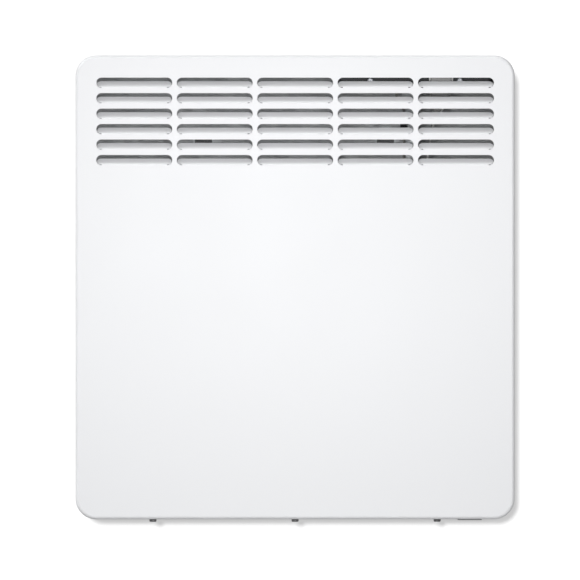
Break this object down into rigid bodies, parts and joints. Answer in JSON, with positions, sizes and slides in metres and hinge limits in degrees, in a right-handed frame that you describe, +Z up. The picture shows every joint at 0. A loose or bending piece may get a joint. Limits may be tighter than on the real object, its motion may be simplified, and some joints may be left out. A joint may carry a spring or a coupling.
{
  "type": "electric convector heater",
  "caption": "Wall-hung electric convector heater: louvred white sheet casing on a hook bracket, with a finned element, sunk control panel and mains rocker.",
  "frame": {"origin": "on the wall plane, in the middle of the wall bracket's four screw slots, level with the middle of the casing", "axes": "+Z up, -Y out from the wall towards the front of the casing, +X to the right as seen from the front"},
  "size_m": [0.426, 0.1, 0.4527],
  "materials": {
    "painted_sheet": "fine-textured white powder coat",
    "galvanised_sheet": "galvanised sheet, faint spangle",
    "aluminium_sheet": "bright rolled aluminium",
    "steel_tube": "heat-tinted stainless tube",
    "zinc_screw": "zinc-plated steel",
    "black_screw": "black-coated steel",
    "ceramic": "off-white glazed ceramic",
    "dark_plastic": "dark moulded plastic, fine spark texture",
    "button_plastic": "dark grey moulded plastic",
    "grey_plastic": "pale grey moulded plastic",
    "white_plastic": "natural white moulded plastic",
    "display_glass": "smoked clear window",
    "display_panel": "unlit liquid crystal panel in a frame",
    "circuit_board": "green solder mask",
    "component_black": "moulded component body",
    "component_amber": "epoxy-coated component",
    "transformer_steel": "laminated core steel",
    "brass_tab": "tinned brass blade",
    "wire_white": "silicone-insulated lead",
    "wire_brown": "insulated lead",
    "wire_grey": "grey glass-fibre sleeve"
  },
  "bodies": {
    "wall_bracket": {"wall_bracket": "galvanised_sheet"},
    "casing": {"front_panel": "painted_sheet", "rear_panel": "galvanised_sheet", "intake_grille": "galvanised_sheet", "partition": "galvanised_sheet", "heat_shield": "aluminium_sheet", "casing_screws": "black_screw", "panel_screws": "zinc_screw", "heater_tube": "steel_tube", "heater_fins": "aluminium_sheet", "heater_bushes": "ceramic", "heater_end_bracket": "galvanised_sheet", "heater_terminals": "ceramic", "safety_limiter": "component_black", "limiter_clamp": "aluminium_sheet", "control_housing": "dark_plastic", "control_fascia": "dark_plastic", "display_window": "display_glass", "display_module": "display_panel", "control_board": "circuit_board", "button_switches": "component_black", "control_screws": "zinc_screw", "ribbon_cable": "wire_white", "power_tray": "dark_plastic", "power_board": "circuit_board", "relays": "component_black", "terminal_block": "white_plastic", "suppressor": "component_amber", "power_supply": "transformer_steel", "switch_housing": "grey_plastic", "switch_tabs": "brass_tab", "cable_gland": "dark_plastic", "sensor_holder": "white_plastic", "room_sensor": "component_black", "cable_clip": "dark_plastic", "element_leads": "wire_white", "limiter_leads": "wire_grey", "switch_leads": "wire_brown", "sensor_lead": "wire_white"},
    "button_standby": {"button_standby": "button_plastic"},
    "button_menu": {"button_menu": "button_plastic"},
    "button_minus": {"button_minus": "button_plastic"},
    "button_plus": {"button_plus": "button_plastic"},
    "switch_rocker": {"switch_rocker": "grey_plastic"}
  },
  "joints": [
    {"name": "lift_off", "type": "slide", "parent": "wall_bracket", "child": "casing", "axis": [0, 0, 1], "range_m": [0, 0.008]},
    {"name": "button_standby_press", "type": "slide", "parent": "casing", "child": "button_standby", "axis": [0, 0, -1], "range_m": [0, 0.0008], "stiffness_N_per_m": 800},
    {"name": "button_menu_press", "type": "slide", "parent": "casing", "child": "button_menu", "axis": [0, 0, -1], "range_m": [0, 0.0008], "stiffness_N_per_m": 800},
    {"name": "button_minus_press", "type": "slide", "parent": "casing", "child": "button_minus", "axis": [0, 0, -1], "range_m": [0, 0.0008], "stiffness_N_per_m": 800},
    {"name": "button_plus_press", "type": "slide", "parent": "casing", "child": "button_plus", "axis": [0, 0, -1], "range_m": [0, 0.0008], "stiffness_N_per_m": 800},
    {"name": "mains_switch", "type": "hinge", "parent": "casing", "child": "switch_rocker", "pos_m": [0.1703, -0.0575, -0.2221], "axis": [1, 0, 0], "range_deg": [0, 20]}
  ]
}
